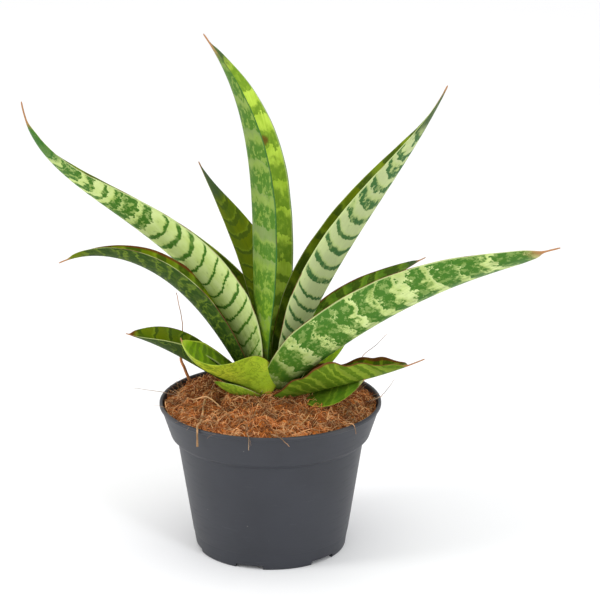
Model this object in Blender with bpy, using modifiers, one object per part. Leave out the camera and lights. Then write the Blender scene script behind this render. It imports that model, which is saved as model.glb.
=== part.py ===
"""A young snake plant in a round nursery pot: pot, coir, crown, leaves, roots and loose fibres."""

import math

import bmesh
import bpy
from mathutils import Matrix, Vector

# All sizes are in metres and all angles in degrees.

# Nursery pot
POT_HEIGHT = 0.0825
RIM_RADIUS = 0.060
LIP_HEIGHT = 0.0020
LIP_THICKNESS = 0.0018
COLLAR_HEIGHT = 0.018
COLLAR_DRAFT = 0.006
COLLAR_STEP_HEIGHT = 0.0030
COLLAR_STEP_WIDTH = 0.0035
BODY_DRAFT = 0.0095
WALL = 0.0012
FLOOR_THICKNESS = 0.0015
FOOT_HEIGHT = 0.0030
FOOT_WIDTH = 0.0025
PAD_RADIUS = 0.008
DRAIN_COUNT = 6
DRAIN_RADIUS = 0.0045
DRAIN_INSET = 0.016
NOTCH_COUNT = 6
NOTCH_WIDTH = 0.0155
NOTCH_HEIGHT = 0.0024
NOTCH_TURN = -106.0
POT_STEPS = 60

# Growing medium and crown
COIR_BELOW_RIM = 0.0010
COIR_RISE = 0.0060
CROWN_X = 0.002
CROWN_Y = 0.006
CROWN_RADIUS = 0.024
CROWN_SINK = 0.0033
CROWN_HEIGHT = 0.009

# Clearance between pieces that touch, and the room that a leaf leaves round its neighbour
CLEARANCE = 0.0003
LEAF_CLEARANCE = 0.0006
WELD = 0.000002

# Leaf blade, common to all leaves
BLADE_THICKNESS = 0.0019
SCALE_THICKNESS = 0.0014
MARGIN_SHARE = 0.32
TIP_SHARE = 0.45
TIP_WIDTH = 0.0008
CREASE_SHARE = 0.3
CREASE_SPREAD = 0.12
PATH_STEPS = 120

# Each leaf starts at `at`, in crown radii from the crown's axis, `up` above the crown. Its midrib turns
# through the three headings (0 is +X, 90 is +Y) and rises at the three slopes, at base, middle and tip.
# `roll` turns the blade about its midrib and `cup` is how far its section curls from edge to edge.
# `width` is the blade laid flat, `foot` its share at the base, `widest` where it is broadest along the
# length and `taper` how full it stays towards the tip. Leaves that come first are left whole, and
# each later one is cut back where it would meet them.
LEAVES = {
    "leaf_clasping": dict(
        at=(-0.14, -0.37), up=0.0019, heading=(200, 207, 214), slope=(37, 30, 78), roll=(-46, -5, 46),
        cup=(155, 125, 59), length=0.067, width=0.043, foot=0.61, widest=0.34, taper=2.3, thick=SCALE_THICKNESS),
    "leaf_long_left": dict(
        at=(-0.42, -0.25), up=0.0019, heading=(143, 199, 266), slope=(76, 40, 58), roll=(-5, -5, 53),
        cup=(159, 151, 11), length=0.231, width=0.052, foot=0.38, widest=0.20, taper=1.4, thick=BLADE_THICKNESS),
    "leaf_long_right": dict(
        at=(0.06, -0.21), up=0.0015, heading=(-49, -44, -36), slope=(41, 33, 21), roll=(6, 25, 38),
        cup=(114, 117, -1), length=0.223, width=0.043, foot=0.53, widest=0.24, taper=2.4, thick=BLADE_THICKNESS),
    "leaf_upper_right": dict(
        at=(0.20, -0.12), up=0.0008, heading=(-11, -22, -29), slope=(77, 59, 64), roll=(-33, -18, -11),
        cup=(171, 171, -3), length=0.200, width=0.045, foot=0.34, widest=0.36, taper=2.1, thick=BLADE_THICKNESS),
    "leaf_tall": dict(
        at=(-0.14, 0.02), up=0.0017, heading=(196, 183, 174), slope=(76, 88, 54), roll=(39, 23, -9),
        cup=(111, 180, 29), length=0.201, width=0.045, foot=0.26, widest=0.40, taper=2.6, thick=BLADE_THICKNESS),
    "leaf_arched_left": dict(
        at=(-0.62, 0.05), up=0.0028, heading=(213, 186, 178), slope=(58, 44, -27), roll=(24, -1, -18),
        cup=(56, 121, 67), length=0.141, width=0.035, foot=0.55, widest=0.46, taper=1.9, thick=BLADE_THICKNESS),
    "leaf_back": dict(
        at=(0.06, 0.28), up=0.0018, heading=(95, 135, 173), slope=(95, 56, 66), roll=(45, 23, -3),
        cup=(80, 66, 14), length=0.133, width=0.022, foot=0.43, widest=0.43, taper=2.2, thick=BLADE_THICKNESS),
    "leaf_low_right": dict(
        at=(0.24, -0.45), up=0.0008, heading=(-33, -31, -16), slope=(23, 22, 28), roll=(-18, 9, 11),
        cup=(120, 147, 18), length=0.091, width=0.034, foot=0.59, widest=0.39, taper=1.7, thick=SCALE_THICKNESS),
    "leaf_scale_left": dict(
        at=(-0.33, -0.42), up=0.0007, heading=(195, 209, 224), slope=(-4, 31, 53), roll=(-16, -11, -13),
        cup=(50, 94, 62), length=0.034, width=0.021, foot=0.76, widest=0.27, taper=2.2, thick=SCALE_THICKNESS),
    "leaf_low_left": dict(
        at=(-0.86, 0.02), up=0.0024, heading=(208, 196, 186), slope=(30, 34, 16), roll=(-2, 9, 10),
        cup=(36, 156, 63), length=0.071, width=0.030, foot=0.48, widest=0.43, taper=2.4, thick=SCALE_THICKNESS),
    "leaf_right_rear": dict(
        at=(0.35, 0.16), up=0.0016, heading=(9, 6, 3), slope=(80, 40, 26), roll=(-28, -18, -6),
        cup=(60, 61, 29), length=0.107, width=0.025, foot=0.36, widest=0.39, taper=2.0, thick=SCALE_THICKNESS),
    "leaf_scale_right": dict(
        at=(0.54, -0.10), up=0.0014, heading=(1, -7, -14), slope=(41, 47, 66), roll=(14, 8, 1),
        cup=(48, 126, 62), length=0.041, width=0.022, foot=0.56, widest=0.37, taper=2.3, thick=SCALE_THICKNESS),
    "leaf_scale_front": dict(
        at=(0.75, -0.51), up=0.0030, heading=(-52, -42, -30), slope=(4, 24, 50), roll=(-18, -38, -32),
        cup=(43, 45, 35), length=0.047, width=0.019, foot=0.49, widest=0.35, taper=2.2, thick=SCALE_THICKNESS),
}
LONG_LEAF = 0.120
LONG_SEGMENTS = (24, 6)
SHORT_SEGMENTS = (14, 6)

# Roots and loose fibres, each through its points. "coir" is a direction, a share of the mound's radius and a
# height above the coir. "rim" is a direction, a distance outside the rim and a height above it.
STRANDS = {
    "aerial_root": dict(slot="root", radius=0.0009, points=[
        ("coir", 145, 0.955, 0.0016), ("rim", 146, -0.0025, 0.0060), ("rim", 147, -0.0006, 0.0125),
        ("rim", 147, -0.0015, 0.0220), ("rim", 147, -0.0019, 0.0335), ("rim", 148, 0.0010, 0.0505)]),
    "hanging_root": dict(slot="root", radius=0.00055, points=[
        ("coir", 142, 0.66, 0.0012), ("coir", 166, 0.56, 0.0013), ("coir", 187, 0.57, 0.0012),
        ("coir", 204, 0.67, 0.0012), ("coir", 224, 0.87, 0.0012), ("rim", 230, -0.0015, 0.0014),
        ("rim", 232, 0.0010, 0.0002), ("rim", 232, 0.0012, -0.0040), ("rim", 232, 0.0011, -0.0090)]),
    "root_branch": dict(slot="root", radius=0.0004, points=[
        ("coir", 182, 0.85, 0.0010), ("coir", 191, 0.73, 0.0012), ("coir", 204, 0.65, 0.0029),
        ("coir", 216, 0.61, 0.0018), ("coir", 226, 0.61, 0.0010)]),
    "fibre_front_left": dict(slot="fibre", radius=0.00035, points=[
        ("coir", 254, 0.76, 0.0008), ("coir", 257, 0.90, 0.0009), ("rim", 259, -0.0012, 0.0011),
        ("rim", 260, 0.0008, 0.0002), ("rim", 260, 0.0010, -0.0065)]),
    "fibre_front": dict(slot="fibre", radius=0.0003, points=[
        ("coir", 270, 0.86, 0.0008), ("coir", 271, 0.94, 0.0010), ("rim", 273, -0.0010, 0.0012),
        ("rim", 276, 0.0008, 0.0000), ("rim", 280, 0.0012, -0.0045)]),
    "fibre_front_right": dict(slot="fibre", radius=0.0003, points=[
        ("coir", 312, 0.86, 0.0008), ("coir", 315, 0.94, 0.0010), ("rim", 316, -0.0010, 0.0012),
        ("rim", 317, 0.0008, 0.0000), ("rim", 318, 0.0011, -0.0048)]),
    "fibre_long_right": dict(slot="fibre", radius=0.0003, points=[
        ("coir", 287, 0.86, 0.0008), ("coir", 296, 0.75, 0.0010), ("coir", 306, 0.65, 0.0010),
        ("coir", 316, 0.58, 0.0008)]),
    "fibre_rear_left": dict(slot="fibre", radius=0.0003, points=[
        ("coir", 150, 0.88, 0.0008), ("coir", 161, 0.77, 0.0012), ("coir", 171, 0.73, 0.0011),
        ("coir", 180, 0.72, 0.0008)]),
    "fibre_rear_right": dict(slot="fibre", radius=0.0003, points=[
        ("coir", 35, 0.92, 0.0008), ("rim", 35, -0.0020, 0.0060), ("rim", 33, 0.0010, 0.0140),
        ("rim", 29, 0.0060, 0.0200), ("rim", 26, 0.0110, 0.0270)]),
    "fibre_wisp_left": dict(slot="fibre", radius=0.0003, points=[
        ("coir", 171, 0.90, 0.0008), ("rim", 173, -0.0012, 0.0015), ("rim", 175, 0.0050, 0.0030),
        ("rim", 178, 0.0140, 0.0055)]),
    "fibre_wisp_right": dict(slot="fibre", radius=0.0003, points=[
        ("coir", -3, 0.90, 0.0008), ("rim", -1, -0.0012, 0.0015), ("rim", 2, 0.0030, 0.0045),
        ("rim", 5, 0.0075, 0.0095)]),
}
STRAND_STEPS = 3
STRAND_TIP_SHARE = 0.5

# Colours, roughness
FINISHES = {
    "pot_plastic": ((0.062, 0.066, 0.075), 0.45),
    "coir": ((0.26, 0.12, 0.05), 0.95),
    "crown": ((0.30, 0.22, 0.10), 0.8),
    "blade": ((0.33, 0.45, 0.18), 0.5),
    "root": ((0.55, 0.33, 0.16), 0.8),
    "fibre": ((0.50, 0.27, 0.12), 0.9),
}


def clear_scene():
    for obj in list(bpy.data.objects):
        bpy.data.objects.remove(obj, do_unlink=True)


def new_collection(name):
    collection = bpy.data.collections.new(name)
    bpy.context.scene.collection.children.link(collection)
    return collection


def finish(name, slot):
    """A material of its own for one piece, in the finish of its slot."""
    colour, roughness = FINISHES[slot]
    material = bpy.data.materials.new(name)
    material.use_nodes = True
    shader = material.node_tree.nodes["Principled BSDF"]
    shader.inputs["Base Color"].default_value = (*colour, 1.0)
    shader.inputs["Roughness"].default_value = roughness
    shader.inputs["Metallic"].default_value = 0.0
    return material


def add_object(name, data, collection, slot=None):
    obj = bpy.data.objects.new(name, data)
    collection.objects.link(obj)
    if slot:
        data.materials.append(finish(name, slot))
    return obj


def as_cutter(obj):
    obj.hide_render = True
    obj.display_type = "WIRE"
    return obj


def evaluated_mesh(obj):
    bpy.context.view_layer.update()
    graph = bpy.context.evaluated_depsgraph_get()
    return bpy.data.meshes.new_from_object(obj.evaluated_get(graph))


def turned(name, profile, collection, slot=None, steps=POT_STEPS):
    """A solid of revolution about Z. The (radius, height) profile ends by running down its outer side."""
    mesh = bpy.data.meshes.new(name)
    shape = bmesh.new()
    points = [shape.verts.new((radius, 0, height)) for radius, height in profile]
    for first, second in zip(points, points[1:]):
        shape.edges.new((first, second))
    shape.to_mesh(mesh)
    shape.free()
    obj = add_object(name, mesh, collection, slot)
    screw = obj.modifiers.new("Turn", "SCREW")
    screw.steps = steps
    screw.render_steps = steps
    screw.use_merge_vertices = True
    screw.merge_threshold = 0.00001
    return obj


def cylinder(name, radius, low, high, collection, x=0.0, y=0.0, segments=24):
    mesh = bpy.data.meshes.new(name)
    shape = bmesh.new()
    bmesh.ops.create_cone(
        shape, cap_ends=True, segments=segments, radius1=radius, radius2=radius, depth=high - low,
        matrix=Matrix.Translation((x, y, (low + high) / 2)))
    shape.to_mesh(mesh)
    shape.free()
    return add_object(name, mesh, collection)


def cut(obj, cutter):
    boolean = obj.modifiers.new("Cut " + cutter.name, "BOOLEAN")
    boolean.operation = "DIFFERENCE"
    boolean.object = cutter


# Pot: outer radius, inner radius and the growing medium's radius all follow the same wall

def base_radius():
    return RIM_RADIUS - COLLAR_DRAFT - COLLAR_STEP_WIDTH - BODY_DRAFT


def wall_radius(height):
    """Outer radius of the pot's wall, which has a sloping step under its collar."""
    collar_base = POT_HEIGHT - COLLAR_HEIGHT
    step_base = collar_base - COLLAR_STEP_HEIGHT
    if height >= collar_base:
        return RIM_RADIUS - COLLAR_DRAFT * (POT_HEIGHT - height) / COLLAR_HEIGHT
    if height >= step_base:
        return RIM_RADIUS - COLLAR_DRAFT - COLLAR_STEP_WIDTH * (collar_base - height) / COLLAR_STEP_HEIGHT
    return base_radius() + BODY_DRAFT * height / step_base


def wall_heights():
    collar_base = POT_HEIGHT - COLLAR_HEIGHT
    return [collar_base - COLLAR_STEP_HEIGHT, collar_base]


def make_pot(collection, cutters):
    floor_top = FOOT_HEIGHT + FLOOR_THICKNESS
    lip_base = POT_HEIGHT - LIP_HEIGHT
    inner = [(wall_radius(z) - WALL, z) for z in [floor_top] + wall_heights()]
    lip_inner = RIM_RADIUS - LIP_THICKNESS
    lip = [
        (lip_inner, lip_base),
        (lip_inner, POT_HEIGHT - LIP_HEIGHT * 0.3),
        (lip_inner + LIP_THICKNESS * 0.3, POT_HEIGHT),
        (RIM_RADIUS - LIP_THICKNESS * 0.3, POT_HEIGHT),
        (RIM_RADIUS, POT_HEIGHT - LIP_HEIGHT * 0.3),
        (RIM_RADIUS, lip_base),
        (wall_radius(lip_base) - WALL * 0.2, lip_base - WALL * 0.4),
    ]
    outer = [(wall_radius(z), z) for z in reversed(wall_heights())]
    base = base_radius()
    foot = [
        (base, WALL * 0.5),
        (base - WALL * 0.5, 0),
        (base - FOOT_WIDTH, 0),
        (base - FOOT_WIDTH, FOOT_HEIGHT),
        (PAD_RADIUS, FOOT_HEIGHT),
        (PAD_RADIUS, 0),
        (0, 0),
    ]
    pot = turned("pot", [(0, floor_top)] + inner + lip + outer + foot, collection, "pot_plastic")
    for index in range(NOTCH_COUNT):
        turn = math.radians(NOTCH_TURN + 360 / NOTCH_COUNT * index)
        mesh = bpy.data.meshes.new("foot_notch")
        shape = bmesh.new()
        size = Matrix.Diagonal((FOOT_WIDTH * 4, NOTCH_WIDTH, NOTCH_HEIGHT * 2, 1))
        place = Matrix.Rotation(turn, 4, "Z") @ Matrix.Translation((base, 0, 0))
        bmesh.ops.create_cube(shape, size=1, matrix=place @ size)
        shape.to_mesh(mesh)
        shape.free()
        cut(pot, as_cutter(add_object("foot_notch_%d" % index, mesh, cutters)))
    for index in range(DRAIN_COUNT):
        turn = math.radians(360 / DRAIN_COUNT * (index + 0.5))
        hole = cylinder(
            "drain_hole_%d" % index, DRAIN_RADIUS, FOOT_HEIGHT - WALL, floor_top + WALL, cutters,
            (base - DRAIN_INSET) * math.cos(turn), (base - DRAIN_INSET) * math.sin(turn), 16)
        cut(pot, as_cutter(hole))
    pot.data.shade_smooth()
    return pot


# Growing medium and crown

def coir_edge_radius():
    return wall_radius(coir_edge_height()) - LIP_THICKNESS - CLEARANCE * 2


def coir_edge_height():
    return POT_HEIGHT - COIR_BELOW_RIM


def coir_top(radius):
    """Height of the low mound of coir at a distance from the pot's axis."""
    share = min(1.0, radius / coir_edge_radius())
    return coir_edge_height() + COIR_RISE * (1 - share**2)


def crown_top():
    return coir_top(0) - CROWN_SINK


def make_coir(collection, cutters, extra=0.0):
    bottom = FOOT_HEIGHT + FLOOR_THICKNESS + CLEARANCE
    gap = WALL + CLEARANCE
    side = [(wall_radius(z) - gap, z) for z in [bottom] + wall_heights()]
    edge = coir_edge_radius()
    dome = [(edge * share, coir_top(edge * share) + extra) for share in (0, 0.2, 0.4, 0.6, 0.8, 1.0)]
    low_edge = [(edge, coir_edge_height() - LIP_HEIGHT * 1.6)]
    profile = dome + low_edge + list(reversed(side)) + [(0, bottom)]
    name = "coir_room" if extra else "coir"
    coir = turned(name, profile, cutters if extra else collection, None if extra else "coir", 48)
    pocket = cylinder(
        name + "_pocket", CROWN_RADIUS + CLEARANCE - extra, crown_top() - CROWN_HEIGHT - CLEARANCE,
        POT_HEIGHT + COIR_RISE * 3, cutters, CROWN_X, CROWN_Y, 40)
    cut(coir, as_cutter(pocket))
    coir.data.shade_smooth()
    return as_cutter(coir) if extra else coir


def make_crown(collection):
    """The rhizome's top, a low disc that every leaf stands on."""
    top = crown_top()
    mesh = bpy.data.meshes.new("crown")
    shape = bmesh.new()
    bmesh.ops.create_cone(
        shape, cap_ends=True, segments=32, radius1=CROWN_RADIUS * 0.8, radius2=CROWN_RADIUS,
        depth=CROWN_HEIGHT, matrix=Matrix.Translation((CROWN_X, CROWN_Y, top - CROWN_HEIGHT / 2)))
    shape.to_mesh(mesh)
    shape.free()
    return add_object("crown", mesh, collection, "crown")


def crown_room(cutters):
    top = crown_top()
    return as_cutter(cylinder(
        "crown_room", CROWN_RADIUS, top - CROWN_HEIGHT, top + CLEARANCE, cutters, CROWN_X, CROWN_Y, 40))


# Leaves

def through(values, s):
    """A quadratic that takes the three values at 0, 0.5 and 1."""
    first, middle, last = values
    return first * (1 - s) * (1 - 2 * s) + 4 * middle * s * (1 - s) + last * s * (2 * s - 1)


def half_width(leaf, s):
    if s < leaf["widest"]:
        share = leaf["foot"] + (1 - leaf["foot"]) * math.sin(math.pi / 2 * s / leaf["widest"])
    else:
        share = 1 - ((s - leaf["widest"]) / (1 - leaf["widest"])) ** leaf["taper"]
    return max(leaf["width"] / 2 * share, TIP_WIDTH / 2)


def leaf_frame(leaf, s):
    """Direction of the midrib, the blade's upward side and its left side, at a share of the length."""
    heading = math.radians(through(leaf["heading"], s))
    slope = math.radians(through(leaf["slope"], s))
    roll = math.radians(through(leaf["roll"], s))
    level = Vector((math.cos(heading), math.sin(heading), 0))
    along = level * math.cos(slope) + Vector((0, 0, math.sin(slope)))
    upper = Vector((0, 0, math.cos(slope))) - level * math.sin(slope)
    left = upper.cross(along)
    turn = Matrix.Rotation(-roll, 3, along)
    return along, turn @ upper, turn @ left


def midrib(leaf):
    """Points along the midrib, found by stepping along its direction."""
    point = Vector((CROWN_X, CROWN_Y, crown_top() + leaf["up"]))
    point += CROWN_RADIUS * Vector((*leaf["at"], 0))
    points = [point.copy()]
    for step in range(PATH_STEPS):
        along = leaf_frame(leaf, (step + 0.5) / PATH_STEPS)[0]
        point = point + along * leaf["length"] / PATH_STEPS
        points.append(point.copy())
    return points


def section(leaf, s, reach, half):
    """Sideways and upward offset of the point that lies `reach` half widths across a curled section."""
    curl = math.radians(through(leaf["cup"], s)) / 2
    steps = 16
    side = 0.0
    rise = 0.0
    for step in range(steps):
        v = (step + 0.5) / steps * abs(reach)
        angle = curl * (CREASE_SHARE * math.tanh(v / CREASE_SPREAD) + (1 - CREASE_SHARE) * v)
        side += math.cos(angle) * half * abs(reach) / steps
        rise += math.sin(angle) * half * abs(reach) / steps
    return math.copysign(side, reach), rise


def leaf_blade(name, leaf, collection, slot=None, extra=0.0):
    """The blade as a sheet that follows its midrib, thickened most along the midrib and near the base."""
    long_way, across = LONG_SEGMENTS if leaf["length"] > LONG_LEAF else SHORT_SEGMENTS
    shape = bmesh.new()
    bmesh.ops.create_grid(shape, x_segments=long_way, y_segments=across, size=0.5)
    weights = []
    path = midrib(leaf)
    for vert in shape.verts:
        s = vert.co.x + 0.5
        reach = vert.co.y * 2
        centre = path[round(s * PATH_STEPS)]
        along, upper, left = leaf_frame(leaf, s)
        half = half_width(leaf, s)
        side, rise = section(leaf, s, reach * (1 + extra / half), half)
        vert.co = centre + left * side + upper * rise
        weights.append((1 - (1 - MARGIN_SHARE) * reach**2) * (1 - (1 - TIP_SHARE) * s**2))
    bmesh.ops.recalc_face_normals(shape, faces=shape.faces)
    mesh = bpy.data.meshes.new(name)
    shape.to_mesh(mesh)
    shape.free()
    obj = add_object(name, mesh, collection, slot)
    group = obj.vertex_groups.new(name="thickness")
    full = leaf["thick"] + extra * 2
    for index, weight in enumerate(weights):
        group.add([index], (weight * leaf["thick"] + extra * 2) / full, "REPLACE")
    shell = obj.modifiers.new("Thickness", "SOLIDIFY")
    shell.thickness = full
    shell.offset = 0
    shell.vertex_group = group.name
    shell.thickness_vertex_group = 0
    return obj


def keep_largest_body(mesh):
    """Drops the slivers that a cut leaves behind, so that a leaf stays one body."""
    shape = bmesh.new()
    shape.from_mesh(mesh)
    bmesh.ops.remove_doubles(shape, verts=shape.verts, dist=WELD)
    waiting = set(shape.faces)
    bodies = []
    while waiting:
        body = []
        edge = [min(waiting, key=lambda face: face.index)]
        waiting.discard(edge[0])
        while edge:
            face = edge.pop()
            body.append(face)
            for side in face.edges:
                near = side.link_faces if len(side.link_faces) == 2 else []
                for other in near:
                    if other in waiting:
                        waiting.discard(other)
                        edge.append(other)
        bodies.append(body)
    bodies.sort(key=len)
    for body in bodies[:-1]:
        bmesh.ops.delete(shape, geom=body, context="FACES")
    shape.to_mesh(mesh)
    shape.free()


def make_leaves(collection, cutters, ground):
    rooms = []
    for name, leaf in LEAVES.items():
        blade = leaf_blade(name, leaf, collection, "blade")
        for room in ground + rooms:
            cut(blade, room)
        mesh = evaluated_mesh(blade)
        keep_largest_body(mesh)
        mesh.name = name
        blade.modifiers.clear()
        blade.vertex_groups.clear()
        blade.data = mesh
        blade.data.shade_smooth()
        rooms.append(as_cutter(leaf_blade(name + "_room", leaf, cutters, None, LEAF_CLEARANCE)))


# Roots and loose fibres

def over_coir(turn, share, lift):
    distance = share * coir_edge_radius()
    angle = math.radians(turn)
    return Vector((distance * math.cos(angle), distance * math.sin(angle), coir_top(distance) + lift))


def by_rim(turn, out, up):
    angle = math.radians(turn)
    distance = RIM_RADIUS + out
    return Vector((distance * math.cos(angle), distance * math.sin(angle), POT_HEIGHT + up))


def smooth_path(points):
    """A curve through all of the points, as a list of closer ones."""
    path = []
    padded = [points[0]] + points + [points[-1]]
    for before, start, end, after in zip(padded, padded[1:], padded[2:], padded[3:]):
        for step in range(STRAND_STEPS):
            t = step / STRAND_STEPS
            path.append(0.5 * (
                2 * start + (end - before) * t + (2 * before - 5 * start + 4 * end - after) * t**2
                + (3 * start - before - 3 * end + after) * t**3))
    return path + [points[-1]]


def make_strand(name, strand, collection):
    places = {"coir": over_coir, "rim": by_rim}
    path = smooth_path([places[where](*place) for where, *place in strand["points"]])
    curve = bpy.data.curves.new(name, "CURVE")
    curve.dimensions = "3D"
    curve.bevel_depth = strand["radius"]
    curve.bevel_resolution = 1
    curve.use_fill_caps = True
    spline = curve.splines.new("POLY")
    spline.points.add(len(path) - 1)
    for index, point in enumerate(path):
        spline.points[index].co = (*point, 1)
        spline.points[index].radius = 1 - (1 - STRAND_TIP_SHARE) * index / (len(path) - 1)
    add_object(name, curve, collection, strand["slot"])


def main():
    clear_scene()
    parts = new_collection("potted_snake_plant")
    cutters = new_collection("cutters")
    make_pot(parts, cutters)
    make_coir(parts, cutters)
    make_crown(parts)
    make_leaves(parts, cutters, [make_coir(parts, cutters, CLEARANCE), crown_room(cutters)])
    for name, strand in STRANDS.items():
        make_strand(name, strand, parts)


main()
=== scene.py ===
# A young snake plant in a round nursery pot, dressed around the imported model.
import math
import random

import bmesh
import bpy
from mathutils import Matrix, Vector, noise


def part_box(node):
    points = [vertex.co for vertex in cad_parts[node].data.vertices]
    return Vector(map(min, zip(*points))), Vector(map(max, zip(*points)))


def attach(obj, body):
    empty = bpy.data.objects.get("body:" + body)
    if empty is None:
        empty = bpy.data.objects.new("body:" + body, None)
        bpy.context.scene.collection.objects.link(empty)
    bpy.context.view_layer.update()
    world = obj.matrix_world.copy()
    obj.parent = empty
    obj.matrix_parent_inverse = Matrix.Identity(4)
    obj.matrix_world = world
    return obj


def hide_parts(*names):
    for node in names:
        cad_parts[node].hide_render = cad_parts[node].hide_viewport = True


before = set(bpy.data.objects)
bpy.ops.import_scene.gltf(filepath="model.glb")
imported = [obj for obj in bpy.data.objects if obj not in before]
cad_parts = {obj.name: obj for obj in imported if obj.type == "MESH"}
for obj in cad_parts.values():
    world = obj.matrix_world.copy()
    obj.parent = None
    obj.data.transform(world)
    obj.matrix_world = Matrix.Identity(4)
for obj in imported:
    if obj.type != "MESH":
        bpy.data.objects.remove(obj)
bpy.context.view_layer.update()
scene = bpy.context.scene
potLow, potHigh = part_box("pot")
crownLow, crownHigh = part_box("crown")
mm = 0.001
mergeDistance = 0.01 * mm


# Shader maths: a socket that takes part in Python expressions
class Wire:
    def __init__(self, shader, socket):
        self.shader = shader
        self.socket = socket

    def __add__(self, other):
        return self.shader.math("ADD", self, other)

    def __sub__(self, other):
        return self.shader.math("SUBTRACT", self, other)

    def __mul__(self, other):
        return self.shader.math("MULTIPLY", self, other)

    def __truediv__(self, other):
        return self.shader.math("DIVIDE", self, other)

    def __pow__(self, other):
        return self.shader.math("POWER", self, other)

    def __rsub__(self, other):
        return self.shader.math("SUBTRACT", other, self)

    def __rtruediv__(self, other):
        return self.shader.math("DIVIDE", other, self)

    def __abs__(self):
        return self.shader.math("ABSOLUTE", self)

    __radd__ = __add__
    __rmul__ = __mul__


class Shader:
    def __init__(self, name, **fixed):
        self.material = bpy.data.materials.new(name)
        self.material.use_nodes = True
        self.tree = self.material.node_tree
        self.surface = self.tree.nodes["Principled BSDF"]
        for socket, value in fixed.items():
            self.surface.inputs[socket.replace("_", " ")].default_value = value

    def add(self, kind, settings, inputs, output=0):
        node = self.tree.nodes.new(kind)
        for key, value in settings.items():
            setattr(node, key, value)
        for key, value in inputs.items():
            self.feed(node.inputs[key], value)
        return Wire(self, node.outputs[output])

    def feed(self, socket, value):
        if isinstance(value, Wire):
            self.tree.links.new(value.socket, socket)
        else:
            socket.default_value = value

    def math(self, operation, *values):
        return self.add("ShaderNodeMath", {"operation": operation}, dict(enumerate(values)))

    def ramp(self, value, start, end):  # smooth step from 0 at start to 1 at end
        return self.add("ShaderNodeMapRange", {"interpolation_type": "SMOOTHSTEP"},
                        {0: value, 1: start, 2: end})

    def mix(self, factor, first, second):
        return self.add("ShaderNodeMix", {"data_type": "RGBA"},
                        {0: factor, 6: colour(first), 7: colour(second)}, 2)

    def point(self, x, y, z):
        return self.add("ShaderNodeCombineXYZ", {}, {0: x, 1: y, 2: z})

    def noise(self, where, scale, detail=2.0, rough=0.5):
        return self.add("ShaderNodeTexNoise", {},
                        {"Vector": where, "Scale": scale, "Detail": detail, "Roughness": rough})

    def split(self, vector):
        return [self.add("ShaderNodeSeparateXYZ", {}, {0: vector}, axis) for axis in range(3)]

    def map(self, name):
        return self.split(self.add("ShaderNodeUVMap", {"uv_map": name}, {}))[:2]

    def place(self):
        return self.add("ShaderNodeTexCoord", {}, {}, 3)

    def finish(self, tint, rough=None, height=None, bump=0.3, depth=0.0005):
        self.feed(self.surface.inputs["Base Color"], tint)
        if rough is not None:
            self.feed(self.surface.inputs["Roughness"], rough)
        if height is not None:
            normal = self.add("ShaderNodeBump", {},
                              {"Strength": bump, "Distance": depth, "Height": height})
            self.feed(self.surface.inputs["Normal"], normal)
        return self.material


def linear(level):
    return level / 12.92 if level <= 0.04045 else ((level + 0.055) / 1.055) ** 2.4


def colour(tint):  # (red, green, blue) from 0 to 255 as a light value
    if isinstance(tint, Wire) or len(tint) == 4:
        return tint
    return (*(linear(level / 255) for level in tint), 1.0)


# Pieces
def addPiece(name, data, slot, *replaced):
    piece = bpy.data.objects.new(name, data)
    scene.collection.objects.link(piece)
    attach(piece, "root")
    if replaced:
        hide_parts(*replaced)
    return piece


def evaluated(piece):
    bpy.context.view_layer.update()
    graph = bpy.context.evaluated_depsgraph_get()
    return bpy.data.meshes.new_from_object(piece.evaluated_get(graph))


def subdivide(piece, levels):
    finer = piece.modifiers.new("finer", "SUBSURF")
    finer.levels = levels
    finer.render_levels = levels


def smoothBelow(mesh, degrees):
    mesh.shade_smooth()
    mesh.set_sharp_from_angle(angle=math.radians(degrees))


def through(values, s):  # a quadratic through the three values at 0, 0.5 and 1
    first, middle, last = values
    return first * (1 - s) * (1 - 2 * s) + 4 * middle * s * (1 - s) + last * s * (2 * s - 1)


def smoothPath(points, steps):
    path = []
    padded = [points[0]] + points + [points[-1]]
    for before, start, end, after in zip(padded, padded[1:], padded[2:], padded[3:]):
        for step in range(steps):
            t = step / steps
            path.append(0.5 * (
                2 * start + (end - before) * t + (2 * before - 5 * start + 4 * end - after) * t**2
                + (3 * start - before - 3 * end + after) * t**3))
    return path + [points[-1]]


# Leaf surfaces. Lengths in the patterns are centimetres along and across the blade.
# Painted shade and light among the tints: the underside ground, mid and band tints are leaf greens darkened to
# stand for the shade on downward-facing undersides. The tall leaf's ground tints are darkened on its outer
# face as painted shade and brightened on its inner face as painted light.
leafTints = dict(
    palest=(180, 192, 138), pale=(204, 219, 148), fresh=(160, 188, 52), bright=(132, 170, 14),
    mid=(96, 134, 32), band=(50, 104, 26), bandCold=(50, 98, 52), deep=(30, 70, 6),
    olive=(104, 120, 2), oliveDark=(34, 58, 0), redEdge=(104, 44, 22), paleEdge=(190, 204, 138),
    dry=(170, 122, 80), tipGrey=(62, 84, 44), sheath=(178, 188, 120), undersideMidShaded=(52, 74, 34),
    undersideBandShaded=(32, 58, 22), lemon=(194, 206, 60),
    undersideGroundShaded=(62, 80, 34), leafy=(68, 98, 16), tallOuterGroundShaded=(124, 144, 86), tallInnerGroundLit=(196, 222, 84),
    moss=(114, 136, 46))

outerLook = dict(
    light="pale", shade="fresh", band="band", shadeShare=0.35, bands=22, growth=0.75, bow=1.2, wobble=0.5,
    zigzag=0.34, thin=0.17, thick=0.8, blotch=0.45, strength=0.95, islands=0.85, flecks=0.3, lean=0.0,
    heart=0.5, streaky=0.25,
    edge="paleEdge", edgeShare=0.97, base="mid", baseEnd=0.12, tip="tipGrey", tipStart=0.9)
innerLook = dict(
    outerLook, light="fresh", shade="bright", band="deep", shadeShare=0.6, bands=12, bow=0.3, wobble=0.5,
    zigzag=0.15, thin=0.3, thick=0.8, blotch=0.0, strength=0.75, islands=0.3, flecks=0.1, baseEnd=0.16)
oliveLook = dict(innerLook, light="olive", shade="leafy", band="oliveDark", strength=0.8, edge="olive",
                 base="oliveDark")


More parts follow.
